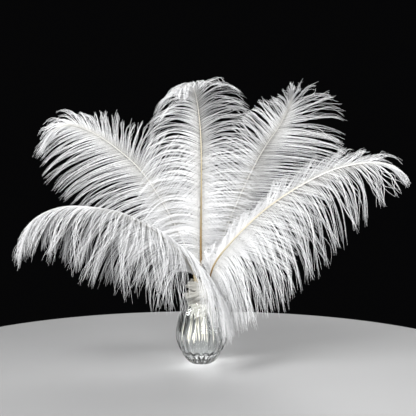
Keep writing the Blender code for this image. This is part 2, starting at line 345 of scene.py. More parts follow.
def vane_surface(plume, line, hand):
    """A grid of points: GRID_ROWS barbs up one side, each with GRID_STEPS steps from shaft to tip.

    Close to the feather's tip the two sides turn to one shared direction, length and fall, so that they
    close round the end of the shaft without a notch between them.
    """
    vane, other = (plume.right, plume.left) if hand > 0 else (plume.left, plume.right)
    t = np.linspace(0, 1, GRID_ROWS)
    closing = ease(t, CLOSES_FROM, 1.0)
    shared = 0.5 * closing
    point, ahead, side = shaft_frame(plume, line, plume.vane_start + (LAST_BARB - plume.vane_start) * t)
    angle = (np.radians(spread(vane.angle, t)) * (1 - CLOSING_TURN * closing))[:, None]
    tipped = np.cross(ahead, side) * (spread(vane.lift, t) * (1 - closing))[:, None]
    start = np.cos(angle) * ahead + hand * np.sin(angle) * side + tipped
    own, its = vane.length * spread(vane.profile, t), other.length * spread(other.profile, t)
    step = ((own * (1 - shared) + its * shared) / GRID_STEPS)[:, None]
    fall = (spread(vane.droop, t) * (1 - shared) + spread(other.droop, t) * shared)[:, None]
    rows = [point]
    for i in range(GRID_STEPS):
        heading = unit(start + fall * ((i + 0.5) / GRID_STEPS) ** BEND_POWER * DOWN)
        rows.append(rows[-1] + step * heading)
    return np.stack(rows, axis=1)


def read_surface(grid, t, s):
    """The grid's points at shares t up the vane and s out along the barb, past its end if s is over 1."""
    row = np.clip(t, 0, 1) * (GRID_ROWS - 1)
    column = np.clip(s, 0, 1.2) * GRID_STEPS
    i = np.minimum(row.astype(int), GRID_ROWS - 2)
    j = np.minimum(column.astype(int), GRID_STEPS - 1)
    u = (row - i)[..., None]
    v = (column - j)[..., None]
    near = grid[i, j] * (1 - v) + grid[i, j + 1] * v
    far = grid[i + 1, j] * (1 - v) + grid[i + 1, j + 1] * v
    return near * (1 - u) + far * u


longest = max(length_of(row) for row in vane_surface(PLUMES[3], LINES["feather_lower_left"], 1))
print("longest barb of feather_lower_left", round(longest * 1000), "mm")

# %% [markdown]
# ## How the barbs are spread
#
# An ostrich barb has no hooks to hold its neighbours, so a vane falls apart into narrow wisps, and those
# into wider locks. Barbs, wisps and locks all stand at uneven distances. The barbs of the two low feathers
# hang, so there they stand closer towards the base and wander more. Those of the lower left feather also
# part a little above the vase's mouth, where the ribbon shows between them: the pair of numbers says how
# far up the vane, and how wide.

# %% Spread of the barbs
BARBS_A_SIDE = 360
LOCKS_A_SIDE = 26
WISPS_A_SIDE = 76
USUAL_CROWDING = 1.2
CROWDING = {("feather_lower_left", 1): 1.9, ("feather_lower_right", -1): 1.7}
TANGLE = {"feather_lower_left": 1.9, "feather_lower_right": 1.5}
PARTING = {("feather_lower_left", 1): (0.228, 0.055)}


def uneven(count, jitter, crowd, rng):
    """Rising shares from 0 to 1, spaced unevenly, and closer near 0 the larger crowd is."""
    even = (np.arange(count) + 0.5 + jitter * rng.uniform(-0.5, 0.5, count)) / count
    return np.sort(np.clip(even, 0, 1)) ** crowd


def nearest_middle(middles, t):
    """For each t the middle that it is nearest to, and which one that is."""
    which = np.abs(t[:, None] - middles[None, :]).argmin(axis=1)
    return middles[which], which


print(BARBS_A_SIDE, "barbs a side, in", WISPS_A_SIDE, "wisps and", LOCKS_A_SIDE, "locks")

# %% [markdown]
# ## Which rows the strands follow
#
# A strand leaves the shaft in its own row of the surface. On the way out it leans towards the middle of its
# wisp, then towards that of its lock, and sways a little. A few loose strands go their own way. All are
# calmer near the feather's tip, where short barbs lie close.

# %% Rows of the strands
BARB_RINGS = 12
LOOSE_SHARE, LOOSE_PULL = 0.08, -0.2
PULL_TO_WISP = (0.80, 0.97)
PULL_TO_LOCK, LOCK_STRENGTH = (0.05, 0.4), (0.3, 1.2)
LOCK_LENGTH, STRAND_LENGTH, LONGEST = (0.91, 1.0), (0.92, 1.05), 1.04
WISP_STRAY = 0.014
SWAY, SWAY_WAVES = 0.006, (0.6, 1.6)


def waves(s, counts, rng):
    """A sine along each strand, with its own number of waves and its own start."""
    return np.sin(2 * pi * (s * rng.uniform(*counts, len(s))[:, None] + rng.uniform(0, 1, len(s))[:, None]))


def strand_rows(crowd, tangle, parting, rng):
    """Each strand's row at the shaft, its lock and wisp, then how far out its points are and their rows."""
    count = BARBS_A_SIDE
    t = uneven(count, 0.8, crowd, rng)
    lock_middle, lock = nearest_middle(uneven(LOCKS_A_SIDE, 1.3, crowd, rng), t)
    wisp_middle, wisp = nearest_middle(uneven(WISPS_A_SIDE, 1.2, crowd, rng), t)
    loose = rng.uniform(0, 1, count) < LOOSE_SHARE
    calm = 1 - 0.7 * ease(t, 0.8, 1)
    to_lock = np.where(loose, LOOSE_PULL, rng.uniform(*PULL_TO_LOCK, count))
    to_lock = to_lock * rng.uniform(*LOCK_STRENGTH, LOCKS_A_SIDE)[lock] * calm
    to_wisp = np.where(loose, 0, rng.uniform(*PULL_TO_WISP, count))
    full = rng.uniform(*LOCK_LENGTH, LOCKS_A_SIDE)[lock] * rng.uniform(*STRAND_LENGTH, count)
    s = np.linspace(0, 1, BARB_RINGS)[None, :] * np.minimum(full, LONGEST)[:, None]

    across = t[:, None] + ((wisp_middle - t) * to_wisp)[:, None] * ease(s, 0.05, 0.6)
    across = across + ((lock_middle - t) * to_lock)[:, None] * ease(s, 0.3, 1.0)
    stray = rng.normal(0, WISP_STRAY * tangle, WISPS_A_SIDE)[wisp]
    across = across + stray[:, None] * (calm[:, None] * ease(s, 0.4, 1.1))
    sway = rng.normal(0, SWAY * tangle, count)[:, None] * waves(s, SWAY_WAVES, rng)
    if parting:
        place, gap = parting
        away = (t - place)[:, None]
        opening = np.where(away > 0, 0.6 * ease(s, 0.42, 0.78), ease(s, 0.25, 0.6))
        across = across + np.sign(away) * gap * np.exp(-np.abs(away) / gap) * opening
    return t, lock, wisp, s, np.clip(across + sway * ease(s, 0, 0.5), 0, 1)


_, lock, wisp, _, _ = strand_rows(USUAL_CROWDING, 1.0, None, np.random.default_rng(0))
print("a trial side has", len(set(wisp)), "wisps in", len(set(lock)), "locks")

# %% [markdown]
# ## The strands' paths
#
# Read off the surface in those rows, the strands would all lie in one thin sheet. So each is lifted off it
# by an amount that it shares with its lock and wisp, which gives the vane its depth, and it waves and ends
# in a small downward hook. Each wisp also gets a random share of painted shade for the finish, so that
# neighbours differ.

# %% Barb paths
LOCK_LIFT, WISP_LIFT, STRAND_LIFT = 0.011, 0.007, 0.0022
WAVE_HEIGHT, WAVE_COUNTS = 0.0012, (1.0, 2.4)
HOOK = 0.010
BESIDE = 0.02
# How often and how strongly wisps get painted shade, standing in for the shadow between strands, and its
# jitter per barb.
WISP_SHADE_ODDS, TONE_JITTER = (0.5, 0.9), 0.08


def barb_paths(grid, crowd, tangle, parting, rng):
    """One side's barbs: their paths, the ways out of the vane there, their rows and their painted shade."""
    t, lock, wisp, s, across = strand_rows(crowd, tangle, parting, rng)
    count = len(t)
    path = read_surface(grid, across, s)
    along_barb = unit(np.gradient(path, axis=1))
    beside = (read_surface(grid, np.clip(across + BESIDE, 0, 1), s)
              - read_surface(grid, np.clip(across - BESIDE, 0, 1), s))
    off = unit(np.cross(unit(beside), along_barb))
    lift = (rng.uniform(-LOCK_LIFT, LOCK_LIFT, LOCKS_A_SIDE)[lock]
            + rng.uniform(-WISP_LIFT, WISP_LIFT, WISPS_A_SIDE)[wisp]
            + rng.uniform(-STRAND_LIFT, STRAND_LIFT, count))[:, None] * ease(s, 0.02, 1.0)
    wave = WAVE_HEIGHT * tangle * waves(s, WAVE_COUNTS, rng)
    path = path + off * (lift + wave * ease(s, 0.1, 0.6))[..., None]
    hook = rng.uniform(0, HOOK, count)[:, None] * ease(s, 0.75, 1.05)
    path = path + DOWN * hook[..., None]
    # Each wisp's random share of painted shade for the finish.
    tone = rng.beta(*WISP_SHADE_ODDS, WISPS_A_SIDE)[wisp] + rng.normal(0, TONE_JITTER, count)
    return path, off, t, np.clip(tone, 0, 1)


print("lift off the vane up to", round((LOCK_LIFT + WISP_LIFT + STRAND_LIFT) * 1000, 1), "mm either way")

# %% [markdown]
# ## Barbs as tubes
#
# Particles or hair curves would be lost on export, so the barbs are real mesh. A barb is thinner than a
# millimetre, so three sides are enough for its tube. It tapers to its tip, and both ends are closed. With
# arrays, all the tubes of one side are made in one go.

# %% Tubes
BARB_SIDES = 3
BARB_RADIUS_AT_ROOT = 0.00038
BARB_RADIUS_AT_TIP = 0.00012


def tube_arrays(path, off):
    """Tapering tubes round the paths: points, triangles, and how far out along its barb each point is."""
    along = unit(np.gradient(path, axis=1))
    first = unit(off - (off * along).sum(2, keepdims=True) * along)
    second = np.cross(along, first)
    reach = np.linspace(0, 1, BARB_RINGS)
    radius = BARB_RADIUS_AT_ROOT + (BARB_RADIUS_AT_TIP - BARB_RADIUS_AT_ROOT) * reach
    turn = 2 * pi * np.arange(BARB_SIDES) / BARB_SIDES
    ring = np.cos(turn)[:, None] * first[:, :, None] + np.sin(turn)[:, None] * second[:, :, None]
    points = path[:, :, None] + radius[None, :, None, None] * ring
    ids = np.arange(len(path) * BARB_RINGS * BARB_SIDES).reshape(len(path), BARB_RINGS, BARB_SIDES)
    after = np.roll(ids, -1, axis=2)
    a, b, c, d = ids[:, :-1], after[:, :-1], after[:, 1:], ids[:, 1:]
    sides = np.concatenate([np.stack([a, b, c], -1).reshape(-1, 3), np.stack([a, c, d], -1).reshape(-1, 3)])
    caps = np.concatenate([ids[:, 0, ::-1], ids[:, -1]])
    out = np.broadcast_to(reach[None, :, None], ids.shape)
    return points.reshape(-1, 3), np.concatenate([sides, caps]), out.reshape(-1)


print("a barb's tube has", BARB_SIDES * 2 * (BARB_RINGS - 1) + 2, "triangles")

# %% [markdown]
# ## Barbules
#
# The softness of ostrich comes from the barbules: loose hairs, about 2 mm long, down both sides of every
# barb. Each is one slim triangle that leans forward and stands off at its own angle. They are longest near
# the quill, where the plume is downy, and shorten towards the barb's tip.

# %% Barbules
BARBULE_PAIRS = 84
FIRST_BARBULE, LAST_BARBULE = 0.03, 0.985
BARBULE_LENGTH = 0.0022
BARBULE_WIDTH = 0.00050
DOWNY_UNTIL, DOWNY_EXTRA = 0.3, 0.8


def barbule_arrays(path, off, t, rng):
    """Pairs of slim triangles along each path: points, triangles, and each point's share along its barb."""
    count = len(path)
    at = np.linspace(FIRST_BARBULE, LAST_BARBULE, BARBULE_PAIRS)[None, :]
    at = at + rng.uniform(-0.004, 0.004, (count, BARBULE_PAIRS))
    cell = at * (BARB_RINGS - 1)
    low = np.minimum(cell.astype(int), BARB_RINGS - 2)
    part = (cell - low)[..., None]
    row = np.arange(count)[:, None]
    root = path[row, low] * (1 - part) + path[row, low + 1] * part
    along = unit(path[row, low + 1] - path[row, low])
    up = unit(off[row, low] - (off[row, low] * along).sum(2, keepdims=True) * along)
    across = np.cross(along, up)
    half = 0.5 * BARBULE_WIDTH * along
    found = []
    for hand in (1, -1):
        lean = rng.uniform(-1.0, 1.0, at.shape)[..., None]
        forward = rng.uniform(0.45, 0.95, at.shape)[..., None]
        way = unit(forward * along + hand * np.cos(lean) * across + np.sin(lean) * up)
        size = BARBULE_LENGTH * rng.uniform(0.6, 1.15, at.shape) * (1 - 0.6 * at**2)
        size *= 1 + DOWNY_EXTRA * (1 - ease(t, 0, DOWNY_UNTIL))[:, None]
        found.append(np.stack([root - half, root + half, root + way * size[..., None]], axis=2))
    points = np.stack(found, axis=2).reshape(-1, 3)
    out = np.repeat(at[..., None], 2 * 3, axis=2).reshape(-1)
    return points, np.arange(len(points)).reshape(-1, 3), out


print(2 * BARBULE_PAIRS, "barbules a barb, about", round(BARBULE_LENGTH * 1000, 1), "mm long")

# %% [markdown]
# ## One mesh for each feather
#
# All of a feather's tubes and barbules go into one mesh, which keeps the scene light. Two numbers are
# stored at every point for the finish: `reach`, the share out along the barb, and `strand`, the barb's
# share of painted shade. The two sides are made in turn from one seed, so that the feather is the same
# in every run.


# %% Barbs of a feather
def mesh_from_arrays(name, points, faces, values):
    """A mesh made from whole arrays, with each named value stored at its points."""
    mesh = bpy.data.meshes.new(name)
    mesh.vertices.add(len(points))
    mesh.vertices.foreach_set("co", points.astype(np.float32).ravel())
    mesh.loops.add(faces.size)
    mesh.loops.foreach_set("vertex_index", faces.astype(np.int32).ravel())
    mesh.polygons.add(len(faces))
    mesh.polygons.foreach_set("loop_start", np.arange(0, faces.size, 3, dtype=np.int32))
    for label, row in values.items():
        mesh.attributes.new(label, "FLOAT", "POINT").data.foreach_set("value", row.astype(np.float32))
    mesh.update()
    mesh.validate()
    return mesh


def piece_from_mesh(name, mesh, finish):
    """An object in the scene that shows this mesh in this finish."""
    mesh.materials.append(finish)
    piece = bpy.data.objects.new(name, mesh)
    bpy.context.collection.objects.link(piece)
    return piece


def barbs_piece(plume, seed, finish):
    """All of one feather's barbs and barbules as one piece."""
    rng = np.random.default_rng(seed)
    points, faces, reach, strand = [], [], [], []
    start = 0
    for hand in (1, -1):
        grid = vane_surface(plume, LINES[plume.name], hand)
        crowd = CROWDING.get((plume.name, hand), USUAL_CROWDING)
        tangle = TANGLE.get(plume.name, 1.0)
        path, off, t, tone = barb_paths(grid, crowd, tangle, PARTING.get((plume.name, hand)), rng)
        for made in (tube_arrays(path, off), barbule_arrays(path, off, t, rng)):
            points.append(made[0])
            faces.append(made[1] + start)
            reach.append(made[2])
            # Each point keeps its barb's share of painted shade.
            strand.append(np.repeat(tone, len(made[0]) // len(tone)))
            start += len(made[0])
    name = plume.name + "_barbs"
    mesh = mesh_from_arrays(name, np.concatenate(points), np.concatenate(faces),
                            {"reach": np.concatenate(reach), "strand": np.concatenate(strand)})
    return piece_from_mesh(name, mesh, finish)


print("a feather has", 2 * BARBS_A_SIDE, "barbs and", 4 * BARBS_A_SIDE * BARBULE_PAIRS, "barbules")

# %% [markdown]
# ## The barbs' finish, and the barbs
#
# Every finish is a Principled material. What is the same all over is set on the shader itself, and nodes
# vary the rest. Barbs are dull white keratin, so theirs is rough, with a little sheen for the bright edge
# that fine hairs show against the light. Its colour comes from the fibre tone and painted shade group,
# which reads the two numbers stored in the mesh: white, with painted shade on random wisps, and a cream
# tint with painted shade near the shaft.

# %% Helpers for materials
def new_material(name, roughness, **fixed):
    """A Principled material with constant values set on the shader's own sockets."""
    made = bpy.data.materials.new(name)
    made.use_nodes = True
    shader = made.node_tree.nodes["Principled BSDF"]
    shader.inputs["Roughness"].default_value = roughness
    for label, value in fixed.items():
        shader.inputs[label.replace("_", " ")].default_value = value
    return made, shader, made.node_tree.nodes, made.node_tree.links


def place_group(nodes, group, **values):
    """A copy of the group in a material, with these values on its inputs."""
    node = nodes.new("ShaderNodeGroup")
    node.node_tree = group
    for label, value in values.items():
        node.inputs[label].default_value = value
    return node


def read_attribute(nodes, name):
    """The output of a node that reads a number stored at the mesh's points."""
    node = nodes.new("ShaderNodeAttribute")
    node.attribute_name = name
    return node.outputs["Fac"]


print("ready: new_material, place_group, read_attribute")

# %% Barb finish and barbs
# White keratin, a grey that is painted shade between strands, and a cream root tint darkened by painted
# shade.
BARB_LIGHT, BARB_PAINTED_SHADE, BARB_ROOT_CREAM_AND_SHADE = (0.92, 0.923, 0.93), (0.56, 0.563, 0.575), (0.56, 0.55, 0.52)
FIRST_SEED = 100


def barb_finish(name, light, painted_shade, root):
    made, shader, nodes, links = new_material(
        name, 0.62, Sheen_Weight=0.35, Sheen_Roughness=0.4, Specular_IOR_Level=0.35)
    # The darker colours here are painted shade, mixed in by wisp and towards the shaft.
    tone = place_group(nodes, FIBRE_TONE_AND_SHADE, Light=(*light, 1), Dark=(*painted_shade, 1), Root=(*root, 1))
    links.new(read_attribute(nodes, "strand"), tone.inputs["Strand"])
    links.new(read_attribute(nodes, "reach"), tone.inputs["Reach"])
    links.new(tone.outputs["Color"], shader.inputs["Base Color"])
    return made


WHITE_BARBS = barb_finish("white_barbs", BARB_LIGHT, BARB_PAINTED_SHADE, BARB_ROOT_CREAM_AND_SHADE)
for seed, plume in enumerate(PLUMES, FIRST_SEED):
    piece = barbs_piece(plume, seed, WHITE_BARBS)
    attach(piece, "root")
    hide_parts(plume.name)
    print(piece.name, len(piece.data.polygons), "triangles")

# %% [markdown]
# ## Shafts
#
# The quill is a smooth horny tube, blunt at its lower end, and the shaft above it is slimmer and runs out
# to a hair at the tip. It is made as a tube is drawn out: a circle is extruded ring by ring, and each ring
# is moved onto the shaft's line and sized to the width that the shaft has there. Above the quill the
# underside is pressed in, as a real shaft has a groove there. Each point keeps its share along the shaft,
# for the finish.

# %% Drawing out a tube
SHAFT_SIDES = 14


def drawn_out(shape, count):
    """A tube of this many rings, extruded from a circle in the shape: its rings, and each side's turn."""
    bmesh.ops.create_circle(shape, cap_ends=False, segments=SHAFT_SIDES, radius=1)
    ring = sorted(shape.verts, key=lambda v: np.arctan2(v.co.y, v.co.x))
    turns = [np.arctan2(v.co.y, v.co.x) for v in ring]
    edges = list(shape.edges)
    rings = [ring]
    for _ in range(count - 1):
        made = bmesh.ops.extrude_edge_only(shape, edges=edges)["geom"]
        edges = [e for e in made if isinstance(e, bmesh.types.BMEdge)]
        partner = {}
        for vert in (v for v in made if isinstance(v, bmesh.types.BMVert)):
            for edge in vert.link_edges:
                partner[edge.other_vert(vert)] = vert
        rings.append([partner[v] for v in rings[-1]])
    return rings, turns


def piece_from_shape(name, shape, finish):
    """The bmesh as a smoothly shaded object; the bmesh itself is freed."""
    mesh = bpy.data.meshes.new(name)
    shape.to_mesh(mesh)
    shape.free()
    mesh.shade_smooth()
    return piece_from_mesh(name, mesh, finish)


print("tubes with", SHAFT_SIDES, "sides")

# %% Shape of a shaft
QUILL_RADIUS = 0.0023
QUILL_POINT = 0.008
QUILL_TAPERS_FROM = 0.2
SLIM_FROM = 0.32
SLIM_RADIUS = 0.0018
SHAFT_TIP_RADIUS = 0.0006
SHAFT_RINGS = 110
SHAFT_FLATNESS = 0.92
GROOVE_DEPTH = 0.35


def shaft_piece(plume, finish):
    """One feather's quill and shaft."""
    line = LINES[plume.name]
    point_end = QUILL_POINT / length_of(line)
    ends = [0, 0.4 * point_end, point_end]
    shares = np.concatenate([ends, np.linspace(2 * point_end, 1, SHAFT_RINGS)])
    centre, ahead, side = shaft_frame(plume, line, shares)
    above = np.cross(ahead, side)
    radius = np.interp(shares, (*ends, QUILL_TAPERS_FROM, SLIM_FROM, 1),
                       (0.25 * QUILL_RADIUS, 0.8 * QUILL_RADIUS, QUILL_RADIUS, QUILL_RADIUS, SLIM_RADIUS,
                        SHAFT_TIP_RADIUS))
    grooved = GROOVE_DEPTH * ease(shares, plume.vane_start, plume.vane_start + 0.1)
    shape = bmesh.new()
    along = shape.verts.layers.float.new("along")
    rings, turns = drawn_out(shape, len(shares))
    for i, ring in enumerate(rings):
        for vert, turn in zip(ring, turns):
            groove = grooved[i] * max(0, -sin(turn)) ** 6
            out = cos(turn) * side[i] + sin(turn) * above[i] * SHAFT_FLATNESS
            vert.co = centre[i] + radius[i] * (1 - groove) * out
            vert[along] = shares[i]
    for ring in (rings[0], rings[-1]):
        shape.faces.new(ring)
    bmesh.ops.recalc_face_normals(shape, faces=shape.faces)
    return piece_from_shape(plume.name + "_shaft", shape, finish)


print("shafts run from", QUILL_RADIUS * 2000, "mm across to", SHAFT_TIP_RADIUS * 2000, "mm")

# %% [markdown]
# ## The shafts' finishes
#
# A bare quill is pale cream. Where the vane begins the horn turns brown and amber, and towards the tip it
# fades to straw and white. The five feathers aren't alike: the upright one stays amber far up, the lower
# right one fades sooner, and the others are silvery almost at once. So each finish has its own colours
# along the shaft. Horn's fine streaks are the mottle stretched upwards.

# %% Shaft finishes and shafts
CREAM, GOLD = (0.90, 0.87, 0.78), (0.55, 0.44, 0.22)
WHITE, SILVER = (0.88, 0.88, 0.86), (0.64, 0.64, 0.62)
BROWN, AMBER, OLIVE = (0.10, 0.055, 0.020), (0.24, 0.135, 0.024), (0.24, 0.19, 0.09)
STRAW, PALE = (0.44, 0.38, 0.24), (0.64, 0.59, 0.47)
HORN_STREAK, STREAK_SHARE = (0.55, 0.42, 0.26, 1), 0.22


def shaft_finish(name, stops):
    """A horn-like finish whose colour follows the share along the shaft through these stops."""
    made, shader, nodes, links = new_material(name, 0.45, Coat_Weight=0.1, Coat_Roughness=0.3)
    ramp = nodes.new("ShaderNodeValToRGB")
    elements = ramp.color_ramp.elements
    while len(elements) < len(stops):
        elements.new(0.5)
    for element, (place, colour) in zip(elements, stops):
        element.position = place
        element.color = (*colour, 1)
    links.new(read_attribute(nodes, "along"), ramp.inputs["Fac"])
    mottle = place_group(nodes, FINE_MOTTLE, Scale=90.0, Stretch=(1, 1, 0.15))
    streaked = mix_colours(nodes, links, mottle.outputs["Mask"], ramp.outputs["Color"], HORN_STREAK)
    blend = mix_colours(nodes, links, STREAK_SHARE, ramp.outputs["Color"], streaked)
    links.new(blend, shader.inputs["Base Color"])
    return made


AMBER_SHAFT = shaft_finish("amber_shaft", (
    (0, CREAM), (0.18, CREAM), (0.24, BROWN), (0.30, AMBER), (0.46, OLIVE), (0.60, STRAW), (0.72, PALE),
    (0.86, WHITE)))
CREAM_SHAFT = shaft_finish("cream_shaft", (
    (0, CREAM), (0.19, CREAM), (0.235, BROWN), (0.27, AMBER), (0.33, STRAW), (0.42, PALE), (0.60, PALE),
    (0.75, WHITE)))
PALE_SHAFT = shaft_finish("pale_shaft", (
    (0, CREAM), (0.17, CREAM), (0.21, GOLD), (0.27, GOLD), (0.33, SILVER)))
SHAFT_FINISHES = {"feather_top": AMBER_SHAFT, "feather_lower_right": CREAM_SHAFT}
for plume in PLUMES:
    piece = shaft_piece(plume, SHAFT_FINISHES.get(plume.name, PALE_SHAFT))
    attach(piece, "root")
    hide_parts(plume.name)
    print(piece.name, len(piece.data.polygons), "faces")

# %% [markdown]
# ## Vase
#
# The vase is clear pressed glass, egg-shaped, with hollow flutes up to its neck and a thick base that
# gathers the light. It is turned: a profile that runs up the outside, round the rim and down the inside is
# spun about the upright axis. The profile's outside is smoothed first, by the same curve as the shafts.

# %% Vase profile
VASE_HEIGHT = 0.1245
FOOT_RADIUS = 0.020
MOUTH_RADIUS = 0.032
WALL = 0.0032
BASE_THICKNESS = 0.013
ROUNDING = 0.0012
FLUTES = 16
FLUTE_DEPTH = 0.0030
BODY_WALL = WALL + FLUTE_DEPTH * 0.6
VASE_OUTSIDE = ((FOOT_RADIUS, 0), (0.024, 0.002), (0.032, 0.010), (0.041, 0.024), (0.048, 0.038),
                (0.0515, 0.054), (0.0505, 0.071), (0.047, 0.087), (0.043, 0.101), (0.036, 0.113),
                (MOUTH_RADIUS, VASE_HEIGHT - ROUNDING))
UNDER_FOOT = ((0, 0.0012), (0.012, 0.0010), (0.0165, 0))


def smooth_profile(points, count):
    """A smooth line through the profile's points, with this many points on it."""
    line = shaft_line([(r, 0, z) for r, z in points])
    pick = np.linspace(0, SHAFT_POINTS - 1, count).round().astype(int)
    return [(float(r), float(z)) for r, _, z in line[pick]]


outside = smooth_profile(VASE_OUTSIDE, 40)
rim = (MOUTH_RADIUS - 0.0008, VASE_HEIGHT), (MOUTH_RADIUS - WALL + 0.0008, VASE_HEIGHT)
body = [(r - BODY_WALL, z) for r, z in VASE_OUTSIDE if z > BASE_THICKNESS + 0.005]
hollow = [(0.015, BASE_THICKNESS + 0.0015), *body[:-1], (MOUTH_RADIUS - WALL, VASE_HEIGHT - ROUNDING)]
vase_profile = [*UNDER_FOOT, *outside, *rim, *smooth_profile(hollow[::-1], 32), (0, BASE_THICKNESS + 0.003)]
print("vase", VASE_HEIGHT * 1000, "mm high,", round(max(r for r, _ in outside) * 2000), "mm across")

# %% [markdown]
# ## Flutes
#
# Pressed flutes are shallow hollows between sharp ridges. After the spin, every outside point is pulled in
# by a wave that repeats round the vase: nothing at a ridge, most in the middle of a flute. Round the foot
# the wave is turned by half a flute, which leaves a ring of small rounded petals there. Edges sharper than
# 28 degrees stay crisp, so the ridges and the petals' ends catch the light.

# %% Vase with its flutes
FLUTE_FADE = 0.010
PETAL_DEPTH = 0.0028
PETAL_TOP, PETAL_BLEND = 0.026, 0.006
VASE_STEPS = 12 * FLUTES
SHARP_ANGLE = radians(28)


def spun(shape, verts, steps):
    """The line of vertices spun full circle about the upright axis, with its seam and poles merged."""
    edges = [shape.edges.new(pair) for pair in zip(verts, verts[1:])]
    bmesh.ops.spin(shape, geom=verts + edges, cent=(0, 0, 0), axis=(0, 0, 1), angle=2 * pi, steps=steps,
                   use_merge=True)
    bmesh.ops.remove_doubles(shape, verts=shape.verts, dist=1e-6)


def vase_piece(finish):
    """The turned vase, with its outside pressed into flutes and petals."""
    shape = bmesh.new()
    outer = shape.verts.layers.float.new("outer")
    verts = [shape.verts.new((r, 0, z)) for r, z in vase_profile]
    for vert in verts[len(UNDER_FOOT):len(UNDER_FOOT) + len(outside)]:
        vert[outer] = 1
    spun(shape, verts, VASE_STEPS)
    for vert in shape.verts:
        out = Vector((vert.co.x, vert.co.y, 0))
        if vert[outer] < 0.5 or out.length < FOOT_RADIUS:
            continue
        turn = np.arctan2(vert.co.y, vert.co.x) * FLUTES / 2
        past_foot = out.length - FOOT_RADIUS
        below_rim = VASE_HEIGHT - vert.co.z
        flute = FLUTE_DEPTH * ease(below_rim, 0, FLUTE_FADE) * abs(sin(turn))
        petal = PETAL_DEPTH * ease(past_foot, 0, 0.004) * abs(cos(turn))
        upper = ease(vert.co.z, PETAL_TOP - PETAL_BLEND, PETAL_TOP)
        vert.co -= out.normalized() * (flute * upper + petal * (1 - upper))
    bmesh.ops.recalc_face_normals(shape, faces=shape.faces)
    piece = piece_from_shape("fluted_vase", shape, finish)
    piece.data.set_sharp_from_angle(angle=SHARP_ANGLE)
    return piece


print(FLUTES, "flutes,", round(FLUTE_DEPTH * 1000, 1), "mm deep")

# %% [markdown]
# ## Glass
#
# The glass is smooth and clear, with a trace of grey-green. Pressed glass is never quite even, so a weak
# bump from the mottle bends what is seen through it. A path tracer gives glass a nearly black shadow, where
# real glass lets the light through, so the vase casts none of its own.

# %% Glass finish and vase
GLASS_TINT = (0.94, 0.96, 0.955, 1)


def bump_from(nodes, links, height, strength, distance, shader):
    """A bump made from this height and led to the shader's normal."""
    bump = nodes.new("ShaderNodeBump")
    bump.inputs["Strength"].default_value = strength
    bump.inputs["Distance"].default_value = distance
    links.new(height, bump.inputs["Height"])
    links.new(bump.outputs["Normal"], shader.inputs["Normal"])


def glass_finish():
    made, shader, nodes, links = new_material(
        "clear_glass", 0.015, Base_Color=GLASS_TINT, IOR=1.5, Transmission_Weight=1.0)
    mottle = place_group(nodes, FINE_MOTTLE, Scale=45.0)
    bump_from(nodes, links, mottle.outputs["Mask"], 0.12, 0.002, shader)
    return made


vase = vase_piece(glass_finish())
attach(vase, "root")
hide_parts("glass_vase")
vase.visible_shadow = False
print("vase", len(vase.data.polygons), "faces")

# %% [markdown]
# ## Ribbon
#
# A strip of white ribbon is wound round the quills: its lower turns wedge them in the vase's mouth, and its
# upper turns puff out above the rim and slant up to the right. Each turn is a flat grid bent round the
# bundle of quills, bellied across its width and folded into sharp pleats, then given a thin thickness.
# Where the glass presses on it, under the mouth, the folds are flattened.

# %% Ribbon turns
Turn = namedtuple("Turn", "name height width slant out belly start span")
TURNS = (
    Turn("ribbon_turn_1", 0.1045, 0.017, 0.20, -0.0004, 0.0006, 210, 380),
    Turn("ribbon_turn_2", 0.1145, 0.018, 0.34, 0.0002, 0.0008, 120, 380),
    Turn("ribbon_turn_3", 0.1270, 0.021, 0.48, 0.0014, 0.0012, 175, 395),
    Turn("ribbon_turn_4", 0.1450, 0.022, 0.45, 0.0018, 0.0030, 20, 385),
    Turn("ribbon_turn_5", 0.1580, 0.016, -0.10, 0.0006, 0.0026, 60, 385),
)
RIBBON_THICKNESS = 0.0004
RIBBON_COLUMNS, RIBBON_ROWS = 130, 24
BUNDLE_HEIGHTS = (0.096, 0.110, 0.120, 0.127, 0.131, 0.137, 0.147, 0.157, 0.166)
BUNDLE_RADII = (0.0245, 0.0262, 0.0268, 0.0262, 0.0268, 0.0315, 0.0312, 0.0275, 0.0205)
SET_IN = 0.0018
OVERLAP_RISE = 0.0008
BIG_FOLD, SMALL_FOLD = 0.0030, 0.0016
PRESSED_SHARE = 0.35
FREE_FROM, FREE_ABOVE = 0.122, 0.134


def pleat(x):
    """A wave of flat slopes that meet in sharp ridges, as pressed folds do; from 0 to 1."""
    return abs((x / pi) % 2 - 1)


def ribbon_turn(turn, seed, finish):
    """One turn of the strip: a grid bent round the bundle, with its ends overlapping."""
    phase = np.random.default_rng(seed).uniform(0, 2 * pi, 4)
    near = np.interp(turn.height, BUNDLE_HEIGHTS, BUNDLE_RADII)
    shape = bmesh.new()
    bmesh.ops.create_grid(shape, x_segments=RIBBON_COLUMNS, y_segments=RIBBON_ROWS, size=1)
    for vert in shape.verts:
        share, across = (vert.co.x + 1) / 2, vert.co.y
        angle = radians(turn.start + turn.span * share)
        edge_wave = 0.0010 * sin(4 * angle + phase[2]) * across + 0.0004 * sin(13 * angle + phase[3])
        z = turn.height + 0.5 * turn.width * across + turn.slant * near * cos(angle) + edge_wave
        folds = (BIG_FOLD * pleat(2.3 * pi * across - 3 * angle + 0.9 * sin(2 * angle + phase[0]))
                 + SMALL_FOLD * pleat(5 * angle + phase[1] - 2.2 * across))
        free = ease(z, FREE_FROM, FREE_ABOVE)
        radius = np.interp(z, BUNDLE_HEIGHTS, BUNDLE_RADII) + turn.out + OVERLAP_RISE * share - SET_IN
        radius += free * (turn.belly * (1 - across**2) + folds) + (1 - free) * PRESSED_SHARE * folds
        vert.co = (radius * cos(angle), radius * sin(angle), z)
    piece = piece_from_shape(turn.name, shape, finish)
    thick = piece.modifiers.new("thickness", "SOLIDIFY")
    thick.thickness = RIBBON_THICKNESS
    thick.offset = 0
    return piece


